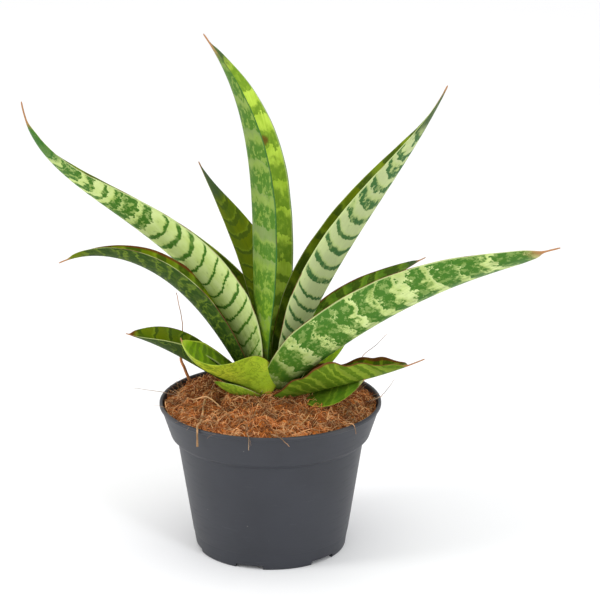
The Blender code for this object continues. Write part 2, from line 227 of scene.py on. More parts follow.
def leafFace(name, leaf, look, seed):
    shader = Shader(name, IOR=1.42, Specular_IOR_Level=0.07)
    along, across = shader.map("blade")
    share, side = shader.map("share")
    edge = abs(side * 2 - 1)
    lengthCm = leaf["length"] * 100
    broad = shader.noise(shader.point(along * 0.45, across * 0.8, seed), 1.0, 2.0)
    teeth = shader.noise(shader.point(along * 1.6, across * 7.5, seed + 9.0), 1.0, 3.0, 0.6)
    streaks = shader.noise(shader.point(along * 0.7, across * 24.0, seed + 3.0), 1.0, 3.0, 0.6)
    mottle = shader.noise(shader.point(along * 2.7, across * 4.2, seed + 5.0), 1.0, 4.0, 0.62)
    patches = shader.noise(shader.point(along * 1.0, across * 1.5, seed + 21.0), 1.0, 2.0)
    lobes = shader.noise(shader.point(along * 1.9, across * 2.6, seed + 33.0), 1.0, 3.0, 0.6)
    grown = shader.ramp(share, look["blotch"] - 0.12, look["blotch"] + 0.12)
    # Bands bow towards the base along the midrib, with toothed edges, and widen to blotches further up
    off = (side - look["heart"]) * 2
    placed = along - off * off * look["bow"] + (broad - 0.5) * look["wobble"] * 2
    placed = placed + (teeth - 0.5) * look["zigzag"] + (lobes - 0.5) * grown * look["zigzag"] * 4
    turn = shader.math("MAXIMUM", placed / lengthCm, 0.0) ** look["growth"] * look["bands"]
    cell = shader.math("FLOOR", turn)
    within = turn - cell
    chance = shader.add("ShaderNodeTexWhiteNoise", {"noise_dimensions": "1D"}, {"W": cell + seed})
    narrow = look["thin"] * (0.7 + chance * 0.6)
    width = (chance * 0.75 + 0.25) * grown * (look["thick"] - look["thin"]) + narrow
    width = width * (1 + (side - 0.5) * 2 * look["lean"])
    band = 1 - shader.ramp(within / width, 0.75, 1.08)
    band = band * shader.ramp(within, 0.0, 0.05)
    pale = shader.ramp(mottle, 0.5, 0.6) * shader.ramp(width, 0.22, 0.6)
    band = band * (1 - pale * look["islands"])
    fleck = shader.ramp(mottle, 0.6, 0.68) * look["flecks"] * shader.ramp(patches, 0.42, 0.6)
    band = shader.math("MAXIMUM", band, fleck) * look["strength"]
    # Ground colour, with greener stretches and fine lines along the blade
    tint = shader.mix(shader.ramp(patches, 0.35, 0.7) * look["shadeShare"],
                      leafTints[look["light"]], leafTints[look["shade"]])
    tint = shader.mix(shader.ramp(streaks, 0.45, 0.72) * look["streaky"], tint, leafTints[look["shade"]])
    halo = (1 - shader.ramp(within / width, 0.9, 1.5)) * shader.ramp(within, 0.0, 0.05)
    tint = shader.mix(halo * 0.3, tint, leafTints["fresh"])
    tint = shader.mix(band, tint, leafTints[look["band"]])
    tint = shader.mix(shader.ramp(streaks, 0.45, 0.75) * band * 0.3, tint, leafTints["mid"])
    midrib = (1 - shader.ramp(edge, 0.0, 0.06)) * 0.2
    tint = shader.mix(midrib, tint, leafTints["deep"])
    based = 1 - shader.ramp(share, look["baseEnd"] * 0.3, look["baseEnd"] * 1.9)
    speckled = based * (0.35 + 0.65 * shader.ramp(mottle, 0.42, 0.58))
    tint = shader.mix(speckled * 0.8, tint, leafTints[look["base"]])
    tint = shader.mix(shader.ramp(edge, look["edgeShare"] - 0.03, look["edgeShare"] + 0.02) * 0.8,
                      tint, leafTints[look["edge"]])
    tipped = shader.ramp(share + (lobes - 0.5) * 0.05, look["tipStart"] - 0.03, look["tipStart"] + 0.03)
    tint = shader.mix(tipped * 0.9, tint, leafTints[look["tip"]])
    thread = leaf.get("thread", 0.97)
    tint = shader.mix(shader.ramp(share, thread - 0.02, thread + 0.01), tint, leafTints["dry"])
    for place, across0, size, spot in leaf.get("spots", []):  # dried scars
        reach = ((share - place) * lengthCm) ** 2.0 + (abs(side - across0) * leaf["width"] * 100) ** 2.0
        spotMask = 1 - shader.ramp(reach ** 0.5 + (mottle - 0.5) * size, size * 0.3, size)
        tint = shader.mix(spotMask * 0.8, tint, leafTints[spot])
    rough = 0.42 + mottle * 0.14 - band * 0.05
    height = streaks * 0.5 + mottle * 0.2 + broad * 0.5
    return shader.finish(tint, rough, height, 0.35, 0.0004)


def leafEdge(name, look, seed):
    shader = Shader(name, IOR=1.42)
    along, across = shader.map("blade")
    share, side = shader.map("share")
    drift = shader.noise(shader.point(along * 0.8, across, seed), 1.0, 3.0)
    tint = shader.mix(shader.ramp(drift + (1 - share) * look["redShare"], 0.5, 0.75),
                      leafTints[look["rim"]], leafTints["redEdge"])
    tint = shader.mix(shader.ramp(share, 0.9, 0.97), tint, leafTints["dry"])
    return shader.finish(tint, 0.5 + drift * 0.2, drift, 0.2, 0.0003)


# Leaves. `at` is in crown radii from the crown's middle and `up` is above it; the midrib turns through
# the three headings and slopes (degrees) at base, middle and tip, `roll` turns the blade about its
# midrib and `cup` curls it. `foot`, `widest` and `taper` give the outline.
leafValues = {
    "leafClasping": dict(
        node="leaf_clasping", at=(-0.14, -0.50), up=1.9, heading=(200, 207, 214), slope=(37, 30, 78),
        roll=(-46, -5, 46), cup=(155, 125, 59), length=0.067, width=0.043, foot=0.61, widest=0.34,
        taper=2.3, thick=1.5,
        outer=dict(
            outerLook, light="lemon", shade="bright", band="leafy", bands=10, strength=0.5, blotch=0.0,
            thin=0.3, zigzag=0.8, shadeShare=0.6, base="fresh", baseEnd=0.3, islands=0.9, tip="fresh",
            edge="fresh"),
        inner=dict(
            innerLook, light="bright", shade="mid", strength=0.5, shadeShare=0.9, tip="fresh",
            edge="lemon", edgeShare=0.95, base="bright"),
        rim="fresh", redShare=0.3),
    "leafLongLeft": dict(
        node="leaf_long_left", at=(-0.42, -0.10), up=1.9, heading=(143, 199, 266), slope=(76, 40, 58),
        roll=(-5, -5, 53), cup=(159, 151, 11), length=0.231, width=0.052, foot=0.55, widest=0.20,
        taper=1.4, thick=2.0, thread=0.93,
        outer=dict(
            outerLook, bands=26, bow=2.4, heart=0.72, wobble=0.35, thin=0.24, thick=1.05, blotch=0.44,
            growth=0.75, islands=0.55, flecks=0.45, tipStart=0.80, tip="band"),
        inner=dict(oliveLook),
        rim="paleEdge", redShare=0.15),
    "leafLongRight": dict(
        node="leaf_long_right", at=(0.06, -0.21), up=1.5, heading=(-49, -44, -36), slope=(41, 33, 21),
        roll=(6, 25, 38), cup=(114, 117, -1), length=0.223, width=0.043, foot=0.53, widest=0.24,
        taper=2.4, thick=2.1, thread=0.95,
        outer=dict(
            outerLook, bands=13, growth=0.9, bow=0.4, wobble=1.0, zigzag=0.6, thin=0.6, thick=0.95,
            blotch=0.12, lean=-0.35, heart=0.3, shade="leafy", shadeShare=0.35, islands=0.35,
            tipStart=0.93, tip="dry"),
        inner=dict(oliveLook, light="mid", shade="deep", edge="redEdge", edgeShare=0.93),
        rim="sheath", redShare=0.35),
    "leafUpperRight": dict(
        node="leaf_upper_right", at=(0.20, -0.12), up=0.8, heading=(-11, -22, -29), slope=(77, 59, 64),
        roll=(-33, -18, -11), cup=(171, 171, -3), length=0.200, width=0.045, foot=0.34, widest=0.36,
        taper=2.1, thick=2.0, thread=0.985,
        outer=dict(
            outerLook, bands=22, bow=2.4, heart=0.3, wobble=0.35, light="palest", shade="pale",
            band="bandCold", thin=0.32, blotch=0.62, tipStart=0.86, flecks=0.2),
        inner=dict(oliveLook),
        rim="paleEdge", redShare=0.1),
    # Painted light and shade on the tall leaf: its outer face uses a darkened ground tint and its inner face a
    # brightened one, standing for how the light falls on its two halves.
    "leafTall": dict(
        node="leaf_tall", at=(-0.14, 0.02), up=1.7, heading=(196, 183, 174), slope=(76, 88, 54),
        roll=(39, 23, -9), cup=(111, 180, 29), length=0.201, width=0.045, foot=0.26, widest=0.40,
        taper=2.6, thick=2.0, thread=0.97,
        outer=dict(
            outerLook, bands=12, growth=0.95, bow=-0.3, light="tallOuterGroundShaded", shade="mid", thin=0.5, blotch=0.1,
            thick=0.85, strength=0.8, islands=0.8, zigzag=0.25, tipStart=0.94, tip="dry", base="bright",
            baseEnd=0.24, edge="bandCold", edgeShare=0.975),
        inner=dict(
            innerLook, light="tallInnerGroundLit", shade="bright", band="mid", bands=15, bow=-0.2, strength=0.8,
            thin=0.24, zigzag=0.35, shadeShare=0.5, streaky=0.5),
        rim="band", redShare=0.0, spots=[(0.68, 0.2, 0.35, "redEdge")]),
    # Painted shade on the arched leaf: its outer face and outer margin use darkened greens that stand for the
    # shade on its downward-facing underside.
    "leafArchedLeft": dict(
        node="leaf_arched_left", at=(-0.51, 0.07), up=2.8, heading=(213, 186, 178), slope=(58, 44, -27),
        roll=(24, -1, -18), cup=(56, 121, 67), length=0.141, width=0.035, foot=0.70, widest=0.46,
        taper=1.9, thick=1.7, thread=0.96,
        outer=dict(
            outerLook, bands=24, light="undersideGroundShaded", shade="undersideMidShaded", band="undersideBandShaded", bow=0.5, shadeShare=0.5,
            strength=0.9, thin=0.5, blotch=0.0, thick=0.8, islands=0.25, edge="undersideMidShaded", base="deep",
            tip="olive"),
        inner=dict(oliveLook, edge="redEdge", edgeShare=0.9),
        rim="sheath", redShare=0.3),
    "leafBack": dict(
        node="leaf_back", at=(0.06, 0.28), up=1.8, heading=(95, 135, 173), slope=(95, 56, 66),
        roll=(45, 23, -3), cup=(80, 66, 14), length=0.133, width=0.022, foot=0.43, widest=0.43, taper=2.2,
        thick=1.8, thread=0.985,
        outer=dict(outerLook, bands=14),
        inner=dict(
            oliveLook, bands=17, thin=0.3, thick=0.36, bow=0.6, wobble=0.2, strength=0.7, islands=0.0,
            tipStart=0.83),
        rim="sheath", redShare=0.1),
    "leafLowRight": dict(
        node="leaf_low_right", at=(0.24, -0.45), up=0.8, heading=(-33, -31, -16), slope=(23, 22, 28),
        roll=(-18, 9, 11), cup=(120, 147, 18), length=0.091, width=0.034, foot=0.59, widest=0.39,
        taper=1.7, thick=1.5, wave=3.6, thread=0.88,
        outer=dict(
            outerLook, light="moss", shade="olive", band="leafy", bands=15, bow=-0.7, thin=0.6,
            blotch=0.1, thick=0.85, islands=0.2, zigzag=0.2, wobble=0.25, strength=0.85, edge="redEdge",
            edgeShare=0.96, tip="olive", tipStart=0.86),
        inner=dict(oliveLook, tip="dry", edge="redEdge", edgeShare=0.88),
        rim="redEdge", redShare=0.9),
    "leafScaleLeft": dict(
        node="leaf_scale_left", at=(-0.33, -0.42), up=0.7, heading=(195, 209, 224), slope=(-4, 31, 44),
        roll=(-16, -11, -13), cup=(50, 94, 62), length=0.032, width=0.021, foot=0.66, widest=0.27,
        taper=2.2, thick=1.3,
        outer=dict(
            outerLook, light="fresh", shade="mid", band="mid", bands=7, thin=0.4, blotch=0.0,
            strength=0.6, tip="mid"),
        inner=dict(innerLook, tip="dry"),
        rim="mid", redShare=0.3),
    # Painted shade on the low left leaf: its outer face uses darkened greens that stand for the shade on its
    # underside.
    "leafLowLeft": dict(
        node="leaf_low_left", at=(-0.86, 0.14), up=2.4, heading=(208, 196, 186), slope=(30, 34, 16),
        roll=(-2, 9, 10), cup=(36, 156, 63), length=0.071, width=0.030, foot=0.48, widest=0.43, taper=2.4,
        thick=1.4, thread=0.97,
        outer=dict(
            outerLook, light="undersideGroundShaded", shade="undersideMidShaded", band="undersideBandShaded", bands=12, blotch=0.0, thin=0.3,
            thick=0.6, shadeShare=0.6, base="deep", edge="sheath", tip="redEdge", tipStart=0.94),
        inner=dict(oliveLook, bands=10, thick=0.5, tip="redEdge", tipStart=0.93),
        rim="sheath", redShare=0.2),
    "leafRightRear": dict(
        node="leaf_right_rear", at=(0.35, 0.16), up=1.6, heading=(9, 6, 3), slope=(80, 40, 26),
        roll=(-28, -18, -6), cup=(60, 61, 29), length=0.107, width=0.025, foot=0.36, widest=0.39,
        taper=2.0, thick=1.5, thread=0.96,
        outer=dict(outerLook, light="fresh", bands=13),
        inner=dict(oliveLook, light="mid", shade="deep", edge="redEdge", edgeShare=0.92),
        rim="redEdge", redShare=0.5),
    "leafScaleRight": dict(
        node="leaf_scale_right", at=(0.54, -0.10), up=1.4, heading=(1, -7, -14), slope=(41, 47, 66),
        roll=(14, 8, 1), cup=(48, 126, 62), length=0.041, width=0.022, foot=0.56, widest=0.37, taper=2.3,
        thick=1.3,
        outer=dict(
            outerLook, light="bright", shade="fresh", bands=6, blotch=0.0, strength=0.35, base="bright",
            tip="bright"),
        inner=dict(innerLook),
        rim="bright", redShare=0.1),
    "leafScaleFront": dict(
        node="leaf_scale_front", at=(0.75, -0.51), up=3.0, heading=(-52, -42, -30), slope=(4, 24, 50),
        roll=(-18, -38, -32), cup=(43, 45, 35), length=0.047, width=0.019, foot=0.49, widest=0.35,
        taper=2.2, thick=1.4,
        outer=dict(outerLook, light="mid", bands=7),
        inner=dict(
            innerLook, light="mid", shade="deep", band="deep", bands=6, strength=0.6, tip="sheath",
            edge="fresh", edgeShare=0.93),
        rim="redEdge", redShare=0.5),
}
leafBuild = dict(
    rows=72, columns=18, marginShare=0.26, tipShare=0.42, crease=0.3, creaseSpread=0.12, threadHalf=0.3 * mm)


def leafHalf(leaf, s):
    if s < leaf["widest"]:
        share = leaf["foot"] + (1 - leaf["foot"]) * math.sin(math.pi / 2 * s / leaf["widest"])
    else:
        share = 1 - ((s - leaf["widest"]) / (1 - leaf["widest"])) ** leaf["taper"]
    ending = min(1.0, max(0.0, (leaf.get("thread", 0.97) + 0.02 - s) / 0.05))  # the dried thread at the tip
    share *= ending * ending * (3 - 2 * ending)
    return max(leaf["width"] / 2 * share, leafBuild["threadHalf"])


def leafFrame(leaf, s):  # direction of the midrib, the blade's inner side and its left side
    heading = math.radians(through(leaf["heading"], s))
    slope = math.radians(through(leaf["slope"], s))
    level = Vector((math.cos(heading), math.sin(heading), 0))
    along = level * math.cos(slope) + Vector((0, 0, math.sin(slope)))
    upper = Vector((0, 0, math.cos(slope))) - level * math.sin(slope)
    turn = Matrix.Rotation(-math.radians(through(leaf["roll"], s)), 3, along)
    return along, turn @ upper, turn @ upper.cross(along)


def leafMidrib(leaf, steps):
    middle = (crownLow + crownHigh) / 2
    radius = (crownHigh.x - crownLow.x) / 2
    point = Vector((middle.x + radius * leaf["at"][0], middle.y + radius * leaf["at"][1],
                    crownHigh.z + leaf["up"] * mm))
    points = [point.copy()]
    for step in range(steps):
        point = point + leafFrame(leaf, (step + 0.5) / steps)[0] * leaf["length"] / steps
        points.append(point.copy())
    return points


def leafSection(leaf, s, reach, half):
    curl = math.radians(through(leaf["cup"], s)) / 2
    spread, crease = leafBuild["creaseSpread"], leafBuild["crease"]
    side = rise = 0.0
    for step in range(16):
        v = (step + 0.5) / 16 * abs(reach)
        angle = curl * (crease * math.tanh(v / spread) + (1 - crease) * v)
        side += math.cos(angle) * half * abs(reach) / 16
        rise += math.sin(angle) * half * abs(reach) / 16
    return math.copysign(side, reach), rise


def makeLeaf(name, leaf, seed):
    rows, columns = leafBuild["rows"], leafBuild["columns"]
    shape = bmesh.new()
    bmesh.ops.create_grid(shape, x_segments=rows, y_segments=columns, size=0.5)
    bladeMap = shape.loops.layers.uv.new("blade")
    shareMap = shape.loops.layers.uv.new("share")
    weights = shape.verts.layers.deform.new()
    path = leafMidrib(leaf, rows * 2)
    flat = {}
    for vert in shape.verts:
        s = vert.co.x + 0.5
        reach = vert.co.y * 2
        half = leafHalf(leaf, s)
        along, upper, left = leafFrame(leaf, s)
        side, rise = leafSection(leaf, s, reach, half)
        ripple = noise.noise(Vector((s * leaf["length"] * 90, reach * 1.5, seed)))
        rise += ripple * abs(reach) ** 2 * leaf.get("wave", 0.25) * mm * min(1, half / 0.006)
        flat[vert] = (s, reach, half)
        vert[weights][0] = (1 - (1 - leafBuild["marginShare"]) * reach**2) * (
            1 - (1 - leafBuild["tipShare"]) * s**2)
        vert.co = path[round(s * rows) * 2] + left * side + upper * rise
    for face in shape.faces:
        for loop in face.loops:
            s, reach, half = flat[loop.vert]
            loop[bladeMap].uv = (s * leaf["length"] * 100, reach * half * 100)
            loop[shareMap].uv = (s, reach / 2 + 0.5)
    mesh = bpy.data.meshes.new(name)
    shape.to_mesh(mesh)
    shape.free()
    mesh.shade_smooth()
    mesh.materials.append(leafFace(name + "Inner", leaf, leaf["inner"], seed))
    mesh.materials.append(leafFace(name + "Outer", leaf, leaf["outer"], seed + 40.0))
    mesh.materials.append(leafEdge(name + "Edge", leaf, seed + 80.0))
    piece = addPiece(name, mesh, "blade", leaf["node"])
    piece.vertex_groups.new(name="thickness")
    blade = piece.modifiers.new("thickness", "SOLIDIFY")
    blade.thickness = leaf["thick"] * mm
    blade.offset = 0
    blade.vertex_group = "thickness"
    blade.material_offset = 1
    blade.material_offset_rim = 2
    subdivide(piece, 1)
    return piece


for number, (name, leaf) in enumerate(leafValues.items()):
    makeLeaf(name, leaf, 1.7 * number + 0.3)
print("leaves:", len(leafValues))


# Pot
pot = dict(
    height=potHigh.z, rim=potHigh.x, lip=2.0 * mm, lipWall=1.8 * mm, collar=18 * mm, collarBase=54 * mm,
    step=3.0 * mm, bodyTop=50.5 * mm, base=41 * mm, wall=1.2 * mm, floor=1.5 * mm, foot=3.0 * mm,
    footWidth=2.5 * mm, pad=8 * mm, line=9.0 * mm, drains=6, drain=4.5 * mm, drainCircle=25 * mm, notches=6,
    notchWidth=15.5 * mm, notchHeight=2.4 * mm, notchTurn=-106, notchCorner=0.6 * mm, rounding=0.32 * mm,
    turns=144)


def potWall(z):
    collarZ = pot["height"] - pot["collar"]
    stepZ = collarZ - pot["step"]
    if z >= collarZ:
        return pot["collarBase"] + (z - collarZ) / pot["collar"] * (pot["rim"] - pot["collarBase"])
    if z >= stepZ:
        return pot["bodyTop"] + (z - stepZ) / pot["step"] * (pot["collarBase"] - pot["bodyTop"])
    return pot["base"] + z / stepZ * (pot["bodyTop"] - pot["base"])


def potMaterial():
    shader = Shader("potPlastic", IOR=1.46, Specular_IOR_Level=0.42)
    where = shader.place()
    x, y, z = shader.split(where)
    scuffs = shader.noise(shader.point(x * 60, y * 60, z * 900), 1.0, 3.0, 0.6)
    cloud = shader.noise(where, 28.0, 3.0)
    grain = shader.noise(where, 2200.0, 2.0)
    specks = shader.noise(where, 620.0, 2.0, 0.4)
    tint = shader.mix(shader.ramp(cloud, 0.3, 0.7) * 0.6, (43, 45, 51), (52, 54, 61))
    tint = shader.mix(shader.ramp(scuffs, 0.62, 0.78) * 0.25, tint, (92, 94, 100))
    tint = shader.mix(shader.ramp(specks, 0.76, 0.8) * 0.35, tint, (150, 146, 140))
    dust = shader.ramp(z, pot["height"] - 3.5 * mm, pot["height"] + 0.5 * mm) * shader.ramp(cloud, 0.4, 0.7)
    tint = shader.mix(dust * 0.25, tint, (120, 112, 104))
    rough = 0.42 + cloud * 0.12 + shader.ramp(scuffs, 0.5, 0.8) * 0.12
    return shader.finish(tint, rough, grain * 0.3 + cloud * 1.0 + scuffs * 0.2, 0.12, 0.0003)


def spun(name, profile, turns):
    shape = bmesh.new()
    points = [shape.verts.new((radius, 0, z)) for radius, z in profile]
    for first, second in zip(points, points[1:]):
        shape.edges.new((first, second))
    bmesh.ops.spin(shape, geom=shape.verts[:] + shape.edges[:], cent=(0, 0, 0), axis=(0, 0, 1),
                   angle=2 * math.pi, steps=turns, use_merge=True)
    bmesh.ops.remove_doubles(shape, verts=shape.verts, dist=mergeDistance)
    bmesh.ops.recalc_face_normals(shape, faces=shape.faces)
    mesh = bpy.data.meshes.new(name)
    return shape, mesh


def cutAway(piece, cutters):
    for cutter in cutters:
        cut = piece.modifiers.new("cut", "BOOLEAN")
        cut.object = cutter
    mesh = evaluated(piece)
    piece.modifiers.clear()
    piece.data = mesh
    for cutter in cutters:
        bpy.data.objects.remove(cutter)


def makePot():
    height, wall, lipWall, lip = pot["height"], pot["wall"], pot["lipWall"], pot["lip"]
    floorTop = pot["foot"] + pot["floor"]
    collarZ = height - pot["collar"]
    stepZ = collarZ - pot["step"]
    lipX, lipZ = pot["rim"] - lipWall / 2, height - lipWall / 2
    roll = [(lipX - lipWall / 2 * math.cos(math.radians(a)), lipZ + lipWall / 2 * math.sin(math.radians(a)))
            for a in range(0, 181, 18)]
    profile = [(0, floorTop)] + [(potWall(z) - wall, z) for z in (floorTop, stepZ, collarZ)]
    profile += [(roll[0][0], height - lip)] + roll + [(pot["rim"], height - lip)]
    profile += [(potWall(height - lip) - wall * 0.2, height - lip - wall * 0.35)]
    profile += [(potWall(z), z) for z in (collarZ, stepZ, pot["line"] + 0.3 * mm)]
    profile += [(potWall(pot["line"]) - 0.25 * mm, pot["line"] - 0.2 * mm)]
    profile += [(pot["base"] - 0.1 * mm, wall * 0.5), (pot["base"] - wall * 0.5, 0)]
    profile += [(pot["base"] - pot["footWidth"], 0), (pot["base"] - pot["footWidth"], pot["foot"])]
    profile += [(pot["pad"], pot["foot"]), (pot["pad"], 0), (0, 0)]
    shape, mesh = spun("potBody", profile, pot["turns"])
    sharp = [edge for edge in shape.edges
             if edge.is_manifold and edge.calc_face_angle() > math.radians(22)]
    bmesh.ops.bevel(shape, geom=sharp, offset=pot["rounding"], affect="EDGES", segments=3, profile=0.5,
                    material=-1, clamp_overlap=True)
    shape.to_mesh(mesh)
    shape.free()
    mesh.materials.append(potMaterial())
    piece = addPiece("potBody", mesh, "pot_plastic", "pot")
    cutters = []
    for index in range(pot["notches"]):
        turn = math.radians(pot["notchTurn"] + 360 / pot["notches"] * index)
        size = Matrix.Diagonal((pot["footWidth"] * 4, pot["notchWidth"], pot["notchHeight"] * 2, 1))
        place = Matrix.Rotation(turn, 4, "Z") @ Matrix.Translation((pot["base"], 0, 0))
        shape = bmesh.new()
        bmesh.ops.create_cube(shape, size=1, matrix=place @ size)
        upright = [edge for edge in shape.edges if min(vert.co.z for vert in edge.verts) > 0]
        bmesh.ops.bevel(shape, geom=upright, offset=pot["notchCorner"], affect="EDGES", segments=3,
                        profile=0.5, material=-1)
        cutters.append(cutterFrom(shape))
    for index in range(pot["drains"]):
        turn = math.radians(360 / pot["drains"] * (index + 0.5))
        place = Matrix.Rotation(turn, 4, "Z") @ Matrix.Translation((pot["drainCircle"], 0, pot["foot"]))
        shape = bmesh.new()
        bmesh.ops.create_cone(shape, cap_ends=True, segments=40, radius1=pot["drain"], radius2=pot["drain"],
                              depth=pot["floor"] * 4, matrix=place)
        cutters.append(cutterFrom(shape))
    cutAway(piece, cutters)
    smoothBelow(piece.data, 40)
    return piece


def cutterFrom(shape):
    mesh = bpy.data.meshes.new("cutter")
    shape.to_mesh(mesh)
    shape.free()
    cutter = bpy.data.objects.new("cutter", mesh)
    scene.collection.objects.link(cutter)
    return cutter


makePot()
print("pot done")


# Growing medium
coir = dict(
    below=1.0 * mm, rise=6.0 * mm, gap=0.6 * mm, fit=0.3 * mm, rings=84, turns=250, lumps=2.4 * mm,
    crumbs=1.3 * mm, grains=0.35 * mm, sink=4.0 * mm, pale=(226, 150, 80), orange=(204, 118, 50),
    brown=(138, 72, 34), darkAndPitShade=(52, 25, 10))
coirEdge = potWall(pot["height"] - coir["below"]) - pot["lipWall"] - coir["gap"]


def coirHeight(x, y):
    distance = math.hypot(x, y)
    share = min(1.0, distance / coirEdge)
    z = pot["height"] - coir["below"] + coir["rise"] * (1 - share**2)
    turn = math.atan2(y, x)
    front = 0.5 - 0.5 * math.sin(turn)  # 1 nearest the front
    dip = coir["sink"] * (0.25 + 0.75 * (1 - front**2)) * max(0.0, share - 0.7) / 0.3
    z -= dip * (0.8 + 0.6 * noise.noise(Vector((x * 55, y * 55, 2.0))))
    z += coir["lumps"] * noise.noise(Vector((x * 130, y * 130, 5.0)))
    z += coir["crumbs"] * noise.noise(Vector((x * 420, y * 420, 9.0)))
    return z + coir["grains"] * noise.noise(Vector((x * 1100, y * 1100, 4.0)))


def coirMaterial():
    shader = Shader("coirGround", IOR=1.4, Specular_IOR_Level=0.15)
    where = shader.place()
    clumps = shader.noise(where, 260.0, 4.0, 0.65)
    threads = shader.noise(where, 1500.0, 4.0, 0.7)
    wide = shader.noise(where, 60.0, 2.0)
    # Partly painted shade: the darkest tone is darker coir and also shade in the pits, since it falls where
    # the clump bump is lowest.
    tint = shader.mix(shader.ramp(clumps, 0.36, 0.62), coir["darkAndPitShade"], coir["orange"])
    tint = shader.mix(shader.ramp(threads, 0.5, 0.75) * 0.5, tint, coir["pale"])
    tint = shader.mix(shader.ramp(wide, 0.5, 0.7) * 0.35, tint, coir["brown"])
    return shader.finish(tint, 0.9 + threads * 0.1, clumps * 1.0 + threads * 0.6, 0.9, 0.0012)


def makeCoir():
    bottom = pot["foot"] + pot["floor"] + coir["fit"]
    collarZ = pot["height"] - pot["collar"]
    inner = [(potWall(z) - pot["wall"] - coir["fit"], z) for z in (collarZ, collarZ - pot["step"], bottom)]
    under = pot["height"] - 10 * mm
    inner = [(potWall(under) - pot["wall"] - coir["fit"], under)] + inner
    top = [(coirEdge * index / coir["rings"], pot["height"]) for index in range(coir["rings"] + 1)]
    shape, mesh = spun("coirGround", top + inner + [(0, bottom)], coir["turns"])
    for vert in shape.verts:
        if vert.co.z > pot["height"] - 1 * mm:
            vert.co.z = coirHeight(vert.co.x, vert.co.y)
            room = potWall(vert.co.z) - pot["wall"] - coir["fit"]  # less where the edge lies lower
            inwards = min(1.0, room / max(room / 2, math.hypot(vert.co.x, vert.co.y)))
            vert.co.x *= inwards
            vert.co.y *= inwards
    shape.to_mesh(mesh)
    shape.free()
    mesh.materials.append(coirMaterial())
    mesh.shade_smooth()
    addPiece("coirGround", mesh, "coir", "coir")


makeCoir()
print("growing medium done")


# Loose fibres on the growing medium
fibres = dict(count=2000, length=(4 * mm, 17 * mm), thick=(0.10 * mm, 0.23 * mm), points=6)
fibreTones = dict(pale=(236, 182, 126), orange=(224, 142, 80), brown=(150, 82, 40))


def fibreMaterial(name, tint):
    shader = Shader(name, IOR=1.4, Specular_IOR_Level=0.25)
    drift = shader.noise(shader.place(), 130.0, 3.0, 0.6)
    mixed = shader.mix(shader.ramp(drift, 0.35, 0.7), tint, tuple(level * 0.6 for level in tint))
    return shader.finish(mixed, 0.75 + drift * 0.15, shader.noise(shader.place(), 1800.0), 0.3, 0.0002)


def curveFrom(name, paths, material, slot, *replaced, sides=0):
    curve = bpy.data.curves.new(name, "CURVE")
    curve.dimensions = "3D"
    curve.bevel_depth = 1.0
    curve.bevel_resolution = sides
    curve.use_fill_caps = True
    for path, radii in paths:
        spline = curve.splines.new("POLY")
        spline.points.add(len(path) - 1)
        for index, (point, radius) in enumerate(zip(path, radii)):
            spline.points[index].co = (*point, 1)
            spline.points[index].radius = radius
    holder = bpy.data.objects.new(name + "Curve", curve)
    scene.collection.objects.link(holder)
    mesh = evaluated(holder)
    bpy.data.objects.remove(holder)
    mesh.name = name
    mesh.materials.clear()
    mesh.materials.append(material)
    mesh.shade_smooth()
    return addPiece(name, mesh, slot, *replaced)


def fibrePath(dice):
    radius = coirEdge * math.sqrt(dice.random()) * 0.99
    turn = dice.uniform(0, 2 * math.pi)
    point = Vector((radius * math.cos(turn), radius * math.sin(turn), 0))
    heading = dice.uniform(0, 2 * math.pi)
    bend = dice.uniform(-1.6, 1.6)
    length = fibres["length"][0] + (fibres["length"][1] - fibres["length"][0]) * dice.random() ** 2
    lift = dice.choice((0.2, 0.3, 0.5, 0.8, 1.4, 2.6)) * mm
    path = []
    for index in range(fibres["points"]):
        t = index / (fibres["points"] - 1)
        distance = math.hypot(point.x, point.y)
        if distance > coirEdge * 0.995:
            point *= coirEdge * 0.995 / distance
        hump = lift * math.sin(math.pi * min(1, t * 1.1)) + 0.08 * mm
        path.append(Vector((point.x, point.y, coirHeight(point.x, point.y) + hump)))
        heading += bend / fibres["points"] + dice.uniform(-0.35, 0.35)
        step = length / fibres["points"]
        point = point + Vector((math.cos(heading), math.sin(heading), 0)) * step
    return path


def makeFibres():
    dice = random.Random(12)
    for tone, tint in fibreTones.items():
        paths = []
        for _ in range(fibres["count"]):
            path = fibrePath(dice)
            thick = dice.uniform(*fibres["thick"])
            paths.append((path, [thick * (1 - 0.6 * abs(2 * k / (len(path) - 1) - 1) ** 3)
                                 for k in range(len(path))]))
        curveFrom("coirFibres_" + tone, paths, fibreMaterial("fibre_" + tone, tint), "fibre")


rimHairs = dict(count=170, length=(3 * mm, 14 * mm), thick=(0.05 * mm, 0.11 * mm), steps=5,
                tint=(206, 160, 120))


def makeRimHairs():  # fine hairs that stand up and out along the edge
    dice = random.Random(31)
    paths = []
    for _ in range(rimHairs["count"]):
        turn = dice.uniform(0, 2 * math.pi)
        radius = coirEdge * dice.uniform(0.82, 0.97)
        point = Vector((radius * math.cos(turn), radius * math.sin(turn), 0))
        point.z = coirHeight(point.x, point.y)
        lean = turn + dice.uniform(-1.1, 1.1)
        slope = math.radians(dice.uniform(15, 75))
        length = dice.uniform(*rimHairs["length"])
        path = [point]
        for _ in range(rimHairs["steps"]):
            level = Vector((math.cos(lean), math.sin(lean), 0)) * math.cos(slope)
            path.append(path[-1] + (level + Vector((0, 0, math.sin(slope)))) * length / rimHairs["steps"])
            lean += dice.uniform(-0.35, 0.35)
            slope -= dice.uniform(0.0, 0.35)
        thick = dice.uniform(*rimHairs["thick"])
        paths.append((path, [thick * (1 - 0.12 * index) for index in range(len(path))]))
    curveFrom("rimHairs", paths, fibreMaterial("rimHair", rimHairs["tint"]), "fibre")


makeFibres()
makeRimHairs()
print("loose fibres done")


